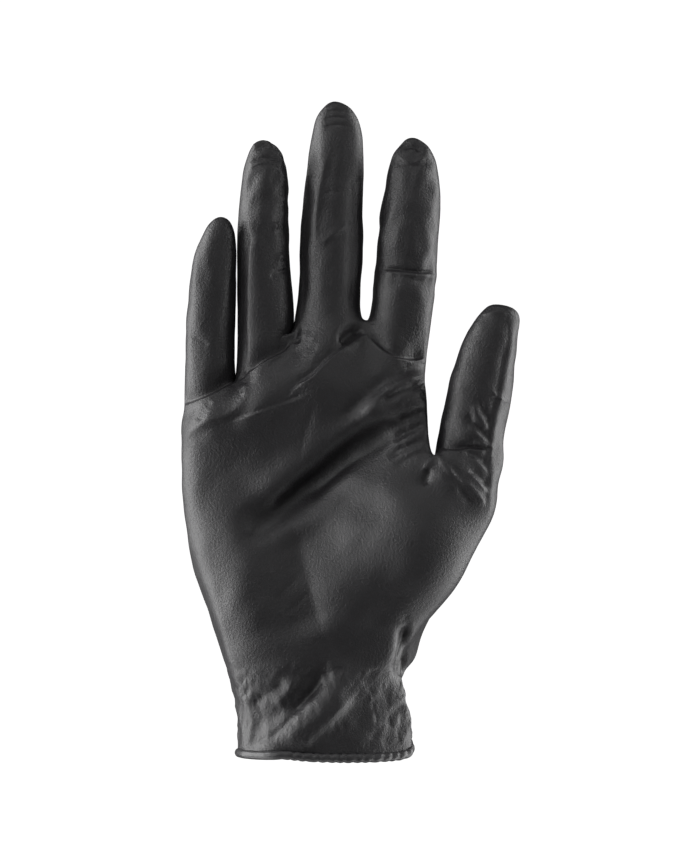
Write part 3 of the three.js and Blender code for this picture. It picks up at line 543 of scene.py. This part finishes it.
    "back_wrist_b": ([(-10, 27), (2, 33), (13, 41), (22, 51)], (0, 1, 1.7, 3.6, 1.4)),
    "back_wrist_c": ([(24, 33), (14, 38), (0, 41), (-14, 41.5), (-27, 39)], (0, -1, 2.4, 3.4, 1.7)),
    "back_hand_a": ([(-38, 92), (-30, 99), (-20, 107), (-12, 117)], (0, 0.5, 2, 4, 1.5)),
    "back_hand_b": ([(-32, 80), (-22, 88), (-12, 98)], (0, 0.45, 2, 4, 1.5)),
    "pleat_pocket": ([(29.8, 47.7), (29.5, 39.3), (28.8, 33.9), (27.7, 27.3)], (0, -3, 1, 3, 2)),
    "pleat_edge": ([(32.8, 6.6), (30.2, 14.6), (28.4, 20.4), (28.4, 27.7), (27.3, 36.8)],
        (0, 0.8, 1.6, 0.7, 1.4)),
}
print("fold lines", len(FOLDS))

# %% A smooth line, and the distance to it
LINE_STEPS = 5
FAR_AWAY = 1e9


def smooth_line(corners):
    """A curve through the corners, as short straight steps."""
    corners = np.array(corners, float)
    padded = np.vstack([2 * corners[0] - corners[1], corners, 2 * corners[-1] - corners[-2]])
    line = []
    for before, start, end, after in zip(padded, padded[1:], padded[2:], padded[3:]):
        for step in range(LINE_STEPS):
            t = step / LINE_STEPS
            line.append(0.5 * (
                2 * start + (end - before) * t
                + (2 * before - 5 * start + 4 * end - after) * t ** 2
                + (3 * start - before - 3 * end + after) * t ** 3
            ))
    return np.array(line + [corners[-1]])


def smoothstep(value):
    """From 0 to 1 with a soft start and a soft end."""
    value = np.clip(value, 0, 1)
    return value * value * (3 - 2 * value)


def beside(line, flat):
    """Distance to the line, positive on its left, and how far along it the nearest place is."""
    best = np.full(len(flat), FAR_AWAY)
    signed = np.full(len(flat), FAR_AWAY)
    place = np.zeros(len(flat))
    lengths = np.linalg.norm(np.diff(line, axis=0), axis=1)
    total, done = lengths.sum(), 0.0
    for start, end, length in zip(line, line[1:], lengths):
        way = (end - start) / length
        offset = flat - start
        travel = np.clip(offset @ way, 0, length)
        away = offset - travel[:, None] * way
        gap = np.linalg.norm(away, axis=1)
        side = np.sign(way[0] * offset[:, 1] - way[1] * offset[:, 0])
        closer = gap < best
        best = np.where(closer, gap, best)
        signed = np.where(closer, gap * np.where(side == 0, 1, side), signed)
        place = np.where(closer, (done + travel) / total, place)
        done += length
    return signed, place


# %% Height of the film by its folds
NOISE_SEED = 7
WANDER = 0.35
WANDER_SCALE = 9.0
REACH = 3.2
TAPER = 0.22
END_SHARE = 0.15
DETAIL_REACH = 0.8
DETAIL_MARGIN = 0.3
FACE_START, FACE_FULL = -0.05, 0.45

noise.seed_set(NOISE_SEED)


def wandered(points):
    """Points in millimetres across and up, moved a little by noise, so that no fold is ruled."""
    flat = points[:, (0, 2)] / MM
    drift = np.array([noise.noise_vector(Vector(p) / WANDER_SCALE) for p in points / MM])
    return flat + WANDER * drift[:, (0, 2)]


def fold_heights(points, normals, widen=0.0, valleys_only=False):
    """Height by all folds in millimetres, and the narrowest fold near each point."""
    flat = wandered(points)
    front = smoothstep((-normals[:, 1] - FACE_START) / (FACE_FULL - FACE_START))
    back = smoothstep((normals[:, 1] - FACE_START) / (FACE_FULL - FACE_START))
    height = np.zeros(len(points))
    narrow = np.full(len(points), FAR_AWAY)
    for name, (corners, *sections) in FOLDS.items():
        line = smooth_line(corners)
        facing = back if name.startswith("back") else front
        for shift, rise, left, right, crest in sections:
            if valleys_only and rise > 0:
                continue
            margin = REACH * max(left, right) + abs(shift)
            low, high = line.min(axis=0) - margin, line.max(axis=0) + margin
            near = ((flat > low) & (flat < high)).all(axis=1) & (facing > 0)
            if not near.any():
                continue
            across, place = beside(line, flat[near])
            across = across - shift
            width = np.where(across > 0, left, right) + widen
            shape = np.exp(-np.abs(across / width) ** crest)
            ends = smoothstep(place / TAPER) * smoothstep((1 - place) / TAPER)
            strength = END_SHARE + (1 - END_SHARE) * ends
            height[near] += rise * shape * strength * facing[near]
            close = np.abs(across) < DETAIL_REACH * width + DETAIL_MARGIN
            spot = np.flatnonzero(near)[close]
            narrow[spot] = np.minimum(narrow[spot], min(left, right))
    return height, narrow


# %% Split the faces along the folds, most of all along the narrow ones
SPLIT_WIDTHS = (1.45, 0.8, 0.47)


def needs_detail(skin, width):
    """Outer faces that a fold narrower than this passes through."""
    centres = skin.centres()
    towards = np.array([skin.normals[list(face)].mean(axis=0) for face in skin.faces])
    narrow = fold_heights(centres, towards)[1]
    return (narrow < width) & (np.array(skin.walls) == OUTSIDE)


for width in SPLIT_WIDTHS:
    split_faces(skin, needs_detail(skin, width))
    print("faces after splitting along folds under", width, "mm:", len(skin.faces))

# %% [markdown]
# ## The film's own unevenness
#
# Between its folds a worn film is never quite smooth. Over the cuff, where nothing fills it, it
# is crumpled in small facets that lean to one side. On the ring finger and at the tips it hangs
# in shallow dents. The rest has a slow waviness. Blender's noise functions give these as heights,
# each with its own scale and place.

# %% Crumples and dents
ZONE_SHIFT = 31
FAINT = 0.001
# roughness of the ridges, how much finer each layer is, layers, offset, gain
RIDGES = (1.0, 2.1, 3, 1.0, 1.2)
# name: the zone's heights, sides and soft edge, the dents' width and length, lean, depth, crumpled
DENTS = {
    "cuff": ((-5, 31), (-60, 60), 4.0, (6.5, 13.0), 38.0, 0.42, True),
    "cuff facets": ((-5, 31), (-60, 60), 4.0, (3.4, 4.6), -15.0, 0.2, True),
    "ring stall": ((185, 224), (-29, -12), 5.0, (4.0, 5.5), 25.0, 0.7, False),
    "middle stall": ((165, 238), (-10, 14), 6.0, (4.5, 8.0), 5.0, 0.4, False),
    "index stall": ((165, 224), (16, 42), 6.0, (4.5, 6.0), 5.0, 0.6, False),
    "little stall": ((140, 196), (-53, -32), 6.0, (4.5, 8.0), 12.0, 0.4, False),
    "thumb": ((90, 165), (38, 72), 6.0, (5.0, 9.0), -20.0, 0.3, False),
    "palm": ((45, 130), (-60, 40), 10.0, (7.0, 14.0), 45.0, 0.3, False),
    "whole glove": ((-10, 250), (-80, 90), 5.0, (15.0, 22.0), 25.0, 0.55, False),
}


def within(values, limits, edge):
    """1 between the limits and 0 outside, with a soft edge."""
    low, high = limits
    return smoothstep((values - low) / edge + 0.5) * smoothstep((high - values) / edge + 0.5)


def dent_heights(points):
    """Height by all crumples and dents, in millimetres."""
    spots = points / MM
    height = np.zeros(len(points))
    for order, (heights, sides, edge, scale, lean, depth, crumpled) in enumerate(DENTS.values()):
        share = within(spots[:, 2], heights, edge) * within(spots[:, 0], sides, edge)
        inside = np.flatnonzero(share > FAINT)
        turn = math.radians(lean)
        across = spots[inside, 0] * math.cos(turn) - spots[inside, 2] * math.sin(turn)
        upward = spots[inside, 0] * math.sin(turn) + spots[inside, 2] * math.cos(turn)
        places = np.column_stack([
            across / scale[0], spots[inside, 1] / scale[0] + ZONE_SHIFT * order, upward / scale[1],
        ])
        if crumpled:
            values = np.array([noise.ridged_multi_fractal(p, *RIDGES) for p in places])
            values = values - values.mean()
        else:
            values = np.array([noise.noise(p) for p in places])
        height[inside] += depth * values * share[inside]
    return height


# %% [markdown]
# ## Moving both skins
#
# The outer skin takes every fold. The inner one can't be its copy, because a fold that is
# narrower than the wall would fold it over itself. It follows the valleys alone, softened, and
# lies a little further in, so the wall stays whole under them. It moves no further than a share
# of the hollow before it, and a point whose face would turn over stays where it was.

# %% Limits of the inner skin
HOLLOW_SHARE = 0.33
OPEN_DEPTH = 30.0
SKIN_CLEAR = 0.05


def hollow_room(skin, inside, outward):
    """How far each inner point may move, in millimetres, by the depth of the hollow before it."""
    inner = BVHTree.FromPolygons(skin.points.tolist(), skin.of(INSIDE))
    depths = []
    for index in np.flatnonzero(inside):
        inward = Vector(-outward[index])
        gap = inner.ray_cast(Vector(skin.points[index]) + inward * SKIN_CLEAR * MM, inward)[3]
        depths.append(OPEN_DEPTH if gap is None else gap / MM)
    return HOLLOW_SHARE * np.array(depths)


def turned_over(skin, moved):
    """Points of the inner faces that the move would turn over, as in the tips of the stalls."""
    inner = skin.of(INSIDE)
    corners = np.array([(face[0], face[1], face[2], face[-1]) for face in inner]).T
    facing = []
    for points in (skin.points, moved):
        first, second, third, last = points[corners]
        facing.append(np.cross(third - first, last - second))
    over = (facing[0] * facing[1]).sum(axis=1) <= 0
    return sorted({point for face, turned in zip(inner, over) if turned for point in face})


# %% Move the film by its folds and dents
INNER_SHIFT = 0.6
INNER_WIDEN = 1.0
FINE_WAVE, FINE_SCALE = 0.03, 2.2
HEM_FADE = (1.0, 7.0)
HEM_SHARE = 0.25
HEM_TUCK = 0.9
TURN_ROUNDS = 2


def displaced(skin):
    """All points moved along their outward normals, less so near the hem, which is tucked down."""
    inside = np.zeros(len(skin.points), bool)
    for face in skin.of(INSIDE):
        inside[list(face)] = True
    outward = np.where(inside[:, None], -skin.normals, skin.normals)
    height = np.zeros(len(skin.points))
    above_hem = smoothstep((skin.points[:, 2] / MM - HEM_FADE[0]) / (HEM_FADE[1] - HEM_FADE[0]))
    folds = fold_heights(skin.points[~inside], outward[~inside])[0]
    height[~inside] = folds + dent_heights(skin.points[~inside])
    ripple = [noise.noise(Vector(p) / FINE_SCALE) for p in skin.points[~inside] / MM]
    height[~inside] += FINE_WAVE * np.array(ripple)
    soft = fold_heights(skin.points[inside], outward[inside], INNER_WIDEN, valleys_only=True)[0]
    wanted = soft + dent_heights(skin.points[inside]) - INNER_SHIFT
    room = hollow_room(skin, inside, outward)
    height[inside] = np.clip(wanted, -room, room)
    height *= HEM_SHARE + (1 - HEM_SHARE) * above_hem
    drop = HEM_TUCK * MM * (1 - above_hem)
    for _ in range(TURN_ROUNDS):
        moved = skin.points + outward * height[:, None] * MM
        moved[:, 2] -= drop
        over = turned_over(skin, moved)
        print("inner points held back", len(over))
        height[over] = 0
    return moved


# %% [markdown]
# ## Black nitrile
#
# Nitrile film is near black and satin. Up close it has a fine leathery stipple from the form that
# it was dipped on, half a millimetre to a millimetre across, and its tone and gloss change a
# little from place to place with its stretch. A photograph of it could be laid on, but it would
# repeat or stretch. Here all of it is noise on object coordinates: a coarse one for tone and
# gloss, and two fine ones for the bumps.

# %% The nitrile material
MOTTLE, MOTTLE_DETAIL = 1 / (11 * MM), 4
STIPPLE, STIPPLE_DETAIL, STIPPLE_TWIST = 1 / (0.75 * MM), 1.5, 0.6
GRAIN, GRAIN_DETAIL = 1 / (0.28 * MM), 1
GRAIN_SHARE = 0.2
GLOSS_SPREAD = 0.06
SPECULAR = 0.5


def noise_value(tree, place, scale, detail, twist=0.0):
    """Noise from 0 to 1 on object coordinates."""
    texture = tree.nodes.new("ShaderNodeTexNoise")
    texture.inputs["Scale"].default_value = scale
    texture.inputs["Detail"].default_value = detail
    texture.inputs["Distortion"].default_value = twist
    tree.links.new(place, texture.inputs["Vector"])
    return texture.outputs["Fac"]


def bump(tree, height, depth):
    """A bump node of this depth over these heights."""
    relief = tree.nodes.new("ShaderNodeBump")
    relief.inputs["Strength"].default_value = 1.0
    relief.inputs["Distance"].default_value = depth
    tree.links.new(height, relief.inputs["Height"])
    return relief


def nitrile(name, dark, light, roughness, stipple_depth):
    """Black nitrile between two tones, with a stipple of this depth in millimetres."""
    material = bpy.data.materials.new(name)
    material.use_nodes = True
    tree = material.node_tree
    shader = tree.nodes["Principled BSDF"].inputs
    place = tree.nodes.new("ShaderNodeTexCoord").outputs["Object"]

    mottle = noise_value(tree, place, MOTTLE, MOTTLE_DETAIL)
    tint = tree.nodes.new("ShaderNodeMix")
    tint.data_type = "RGBA"
    tint.inputs["A"].default_value = (*dark, 1)
    tint.inputs["B"].default_value = (*light, 1)
    tree.links.new(mottle, tint.inputs["Factor"])
    tree.links.new(tint.outputs["Result"], shader["Base Color"])
    gloss = tree.nodes.new("ShaderNodeMapRange")
    gloss.inputs["To Min"].default_value = roughness - GLOSS_SPREAD
    gloss.inputs["To Max"].default_value = roughness + GLOSS_SPREAD
    tree.links.new(mottle, gloss.inputs["Value"])
    tree.links.new(gloss.outputs["Result"], shader["Roughness"])

    stipple = noise_value(tree, place, STIPPLE, STIPPLE_DETAIL, STIPPLE_TWIST)
    stipple = bump(tree, stipple, stipple_depth * MM)
    grain = noise_value(tree, place, GRAIN, GRAIN_DETAIL)
    grain = bump(tree, grain, stipple_depth * GRAIN_SHARE * MM)
    tree.links.new(stipple.outputs["Normal"], grain.inputs["Normal"])
    tree.links.new(grain.outputs["Normal"], shader["Normal"])
    shader["Specular IOR Level"].default_value = SPECULAR
    return material


# %% The worn film
def make_piece(name, points, faces, material):
    """A smooth piece of these points and faces, at the origin."""
    mesh = bpy.data.meshes.new(name)
    mesh.from_pydata(points.tolist(), [], faces)
    mesh.validate()
    mesh.shade_smooth()
    mesh.materials.append(material)
    piece = bpy.data.objects.new(name, mesh)
    bpy.context.scene.collection.objects.link(piece)
    return piece


film_material = nitrile(
    "black nitrile film", dark=(0.011, 0.0105, 0.0115), light=(0.019, 0.018, 0.02),
    roughness=0.42, stipple_depth=0.2,
)
film = make_piece("worn_film", displaced(skin), skin.faces, film_material)
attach(film, "root")
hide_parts("glove_film")
print("film triangles", sum(len(face) - 2 for face in skin.faces))

# %% [markdown]
# ## The rolled bead
#
# The bead is the film's own edge, rolled up some ten times, so it is a soft round cord. It is
# smooth where the cuff is slack and puckered in slanted tucks where it is drawn in. A torus with
# a bump would follow neither the cuff's line nor the tucks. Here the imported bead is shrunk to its
# centre line, and Geometry Nodes sweep a round along it and press the tucks into it.

# %% Centre line of the bead
BEAD_RADIUS = 1.7 * MM
LINE_MERGE = 1.6 * MM


def bead_line():
    """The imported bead, each point drawn in by its radius, so that rounds close to single points."""
    rounds = merged_quads("rolled_bead")
    for vertex in rounds.verts:
        vertex.co -= vertex.normal * BEAD_RADIUS
    bmesh.ops.remove_doubles(rounds, verts=rounds.verts, dist=LINE_MERGE)
    bmesh.ops.delete(rounds, geom=rounds.faces[:], context="FACES_ONLY")
    mesh = bpy.data.meshes.new("bead line")
    rounds.to_mesh(mesh)
    rounds.free()
    return mesh


line_mesh = bead_line()
print("bead line points", len(line_mesh.vertices), "edges", len(line_mesh.edges))

# %% Short ways to add and link geometry nodes
BEAD_INPUTS = {
    "Radius": ("NodeSocketFloat", BEAD_RADIUS),
    "Step": ("NodeSocketFloat", 0.55 * MM),
    "Sides": ("NodeSocketInt", 20),
    "Tuck spacing": ("NodeSocketFloat", 3.3 * MM),
    "Tuck depth": ("NodeSocketFloat", 0.34 * MM),
    "Tuck slant": ("NodeSocketFloat", 0.9),
    "Unevenness": ("NodeSocketFloat", 0.25 * MM),
}


class Tree:
    """A node tree with the bead's named inputs."""

    def __init__(self, name):
        self.group = bpy.data.node_groups.new(name, "GeometryNodeTree")
        new_socket = self.group.interface.new_socket
        new_socket("Geometry", in_out="INPUT", socket_type="NodeSocketGeometry")
        for title, (kind, value) in BEAD_INPUTS.items():
            new_socket(title, in_out="INPUT", socket_type=kind).default_value = value
        new_socket("Geometry", in_out="OUTPUT", socket_type="NodeSocketGeometry")
        self.given = self.add("NodeGroupInput").outputs

    def add(self, kind):
        return self.group.nodes.new(kind)

    def feed(self, socket, value):
        """Links another node's output, or sets a plain value."""
        if isinstance(value, bpy.types.NodeSocket):
            self.group.links.new(value, socket)
        else:
            socket.default_value = value

    def node(self, kind, **inputs):
        """A node with these inputs fed, and its first output."""
        node = self.add(kind)
        for title, value in inputs.items():
            self.feed(node.inputs[title.replace("_", " ")], value)
        return node.outputs[0]

    def math(self, operation, *values):
        node = self.add("ShaderNodeMath")
        node.operation = operation
        for socket, value in zip(node.inputs, values):
            self.feed(socket, value)
        return node.outputs[0]

    def captured(self, geometry, value):
        """The geometry with a value stored on its points, and that stored value."""
        node = self.add("GeometryNodeCaptureAttribute")
        node.domain = "POINT"
        node.capture_items.new("FLOAT", "value")
        self.feed(node.inputs[0], geometry)
        self.feed(node.inputs[1], value)
        return node.outputs[0], node.outputs[1]


# %% Sweep a round along the line
def swept_round(tree):
    """The bead without tucks, and how far along and how far around it each point is."""
    line = tree.node("GeometryNodeMeshToCurve", Mesh=tree.given["Geometry"])
    spline = tree.add("GeometryNodeCurveSplineType")
    spline.spline_type = "CATMULL_ROM"
    tree.feed(spline.inputs["Curve"], line)
    even = tree.add("GeometryNodeResampleCurve")
    even.mode = "LENGTH"
    tree.feed(even.inputs["Curve"], spline.outputs["Curve"])
    tree.feed(even.inputs["Length"], tree.given["Step"])
    travelled = tree.add("GeometryNodeSplineParameter").outputs["Length"]
    line, along_bead = tree.captured(even.outputs["Curve"], travelled)
    radius, sides = tree.given["Radius"], tree.given["Sides"]
    ring = tree.node("GeometryNodeCurvePrimitiveCircle", Radius=radius, Resolution=sides)
    turned = tree.add("GeometryNodeSplineParameter").outputs["Factor"]
    ring, around_bead = tree.captured(ring, turned)
    tube = tree.node("GeometryNodeCurveToMesh", Curve=line, Profile_Curve=ring)
    return tube, along_bead, around_bead


# %% Press the tucks in
LUMP_SIZE = 7 * MM
TUCK_WANDER = 1.1
TUCK_LEVEL = 0.6
NOISE_MIDDLE = 0.5
SMOOTH_UNTIL, PUCKERED_FROM = -21 * MM, -10 * MM


def tuck_push(tree, along_bead, around_bead):
    """How far each point moves out, by slanted tucks on the right part and slow lumps all over."""
    place = tree.node("GeometryNodeInputPosition")
    jitter = tree.node("ShaderNodeTexNoise", Scale=1 / LUMP_SIZE, Vector=place)
    wave = tree.math("DIVIDE", along_bead, tree.given["Tuck spacing"])
    wave = tree.math("ADD", wave, tree.math("MULTIPLY", around_bead, tree.given["Tuck slant"]))
    wave = tree.math("ADD", wave, tree.math("MULTIPLY", jitter, TUCK_WANDER))
    wave = tree.math("SINE", tree.math("MULTIPLY", wave, math.pi))
    wave = tree.math("SUBTRACT", tree.math("ABSOLUTE", wave), TUCK_LEVEL)
    axes = tree.add("ShaderNodeSeparateXYZ")
    tree.feed(axes.inputs[0], place)
    puckered = tree.add("ShaderNodeMapRange")
    puckered.interpolation_type = "SMOOTHSTEP"
    tree.feed(puckered.inputs["Value"], axes.outputs["X"])
    tree.feed(puckered.inputs["From Min"], SMOOTH_UNTIL)
    tree.feed(puckered.inputs["From Max"], PUCKERED_FROM)
    tucks = tree.math("MULTIPLY", wave, tree.given["Tuck depth"])
    tucks = tree.math("MULTIPLY", tucks, puckered.outputs["Result"])
    lumps = tree.math("SUBTRACT", jitter, NOISE_MIDDLE)
    return tree.math("ADD", tucks, tree.math("MULTIPLY", lumps, tree.given["Unevenness"]))


def bead_tree(material):
    """The whole tree, which ends in a plain mesh with its material."""
    tree = Tree("rolled bead")
    tube, along_bead, around_bead = swept_round(tree)
    push = tree.add("ShaderNodeVectorMath")
    push.operation = "SCALE"
    tree.feed(push.inputs[0], tree.node("GeometryNodeInputNormal"))
    tree.feed(push.inputs["Scale"], tuck_push(tree, along_bead, around_bead))
    bead = tree.node("GeometryNodeSetPosition", Geometry=tube, Offset=push.outputs[0])
    bead = tree.node("GeometryNodeSetShadeSmooth", Geometry=bead)
    bead = tree.node("GeometryNodeRealizeInstances", Geometry=bead)
    bead = tree.node("GeometryNodeSetMaterial", Geometry=bead, Material=material)
    tree.feed(tree.add("NodeGroupOutput").inputs["Geometry"], bead)
    return tree.group


# %% The puckered bead
def grown_mesh(line_mesh, group):
    """What the tree makes of the line, as a plain mesh."""
    line = bpy.data.objects.new("bead line", line_mesh)
    bpy.context.scene.collection.objects.link(line)
    modifier = line.modifiers.new("rolled bead", "NODES")
    modifier.node_group = group
    for item in group.interface.items_tree:
        if item.in_out == "INPUT" and item.name in BEAD_INPUTS:
            modifier[item.identifier] = BEAD_INPUTS[item.name][1]
    bpy.context.view_layer.update()
    evaluated = line.evaluated_get(bpy.context.evaluated_depsgraph_get())
    mesh = bpy.data.meshes.new_from_object(evaluated)
    bpy.data.objects.remove(line)
    return mesh


bead_material = nitrile(
    "rolled nitrile bead", dark=(0.024, 0.0235, 0.025), light=(0.04, 0.039, 0.041),
    roughness=0.34, stipple_depth=0.1,
)
bead_mesh = grown_mesh(line_mesh, bead_tree(bead_material))
bead = bpy.data.objects.new("puckered_bead", bead_mesh)
bpy.context.scene.collection.objects.link(bead)
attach(bead, "root")
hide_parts("rolled_bead")
print("bead faces", len(bead_mesh.polygons), "materials", [m.name for m in bead_mesh.materials])

# %% [markdown]
# ## Measure and finish
#
# The film's two skins must not cross, so the wall is measured from every point of the outer one.

# %% Measure the wall
DEEPEST_SINK = 3 * MM
THIN_WALL = 0.2 * MM


def wall_gaps(points, skin):
    """From each outer point to the inner skin, less than nothing if the point is in the hollow."""
    inner = BVHTree.FromPolygons(points.tolist(), skin.of(INSIDE))
    outer = {point for face in skin.of(OUTSIDE) for point in face}
    outer = sorted(point for point in outer if points[point][2] > NEAR_HEM)
    gaps = []
    for index in outer:
        outward = Vector(skin.normals[index])
        met, facing = inner.ray_cast(Vector(points[index]), outward, DEEPEST_SINK)[:2]
        sunk = met is not None and facing.dot(outward) < 0
        gaps.append(inner.find_nearest(Vector(points[index]))[3] * (-1 if sunk else 1))
    return np.array(gaps), points[outer]


gaps, spots = wall_gaps(coordinates(film.data), skin)
print("thinnest wall, mm", round(gaps.min() / MM, 2), "at", (spots[gaps.argmin()] / MM).round(1))
print("outer points with a thin wall", int((gaps < THIN_WALL).sum()), "of", len(gaps))

# %% Finish
bpy.context.view_layer.update()
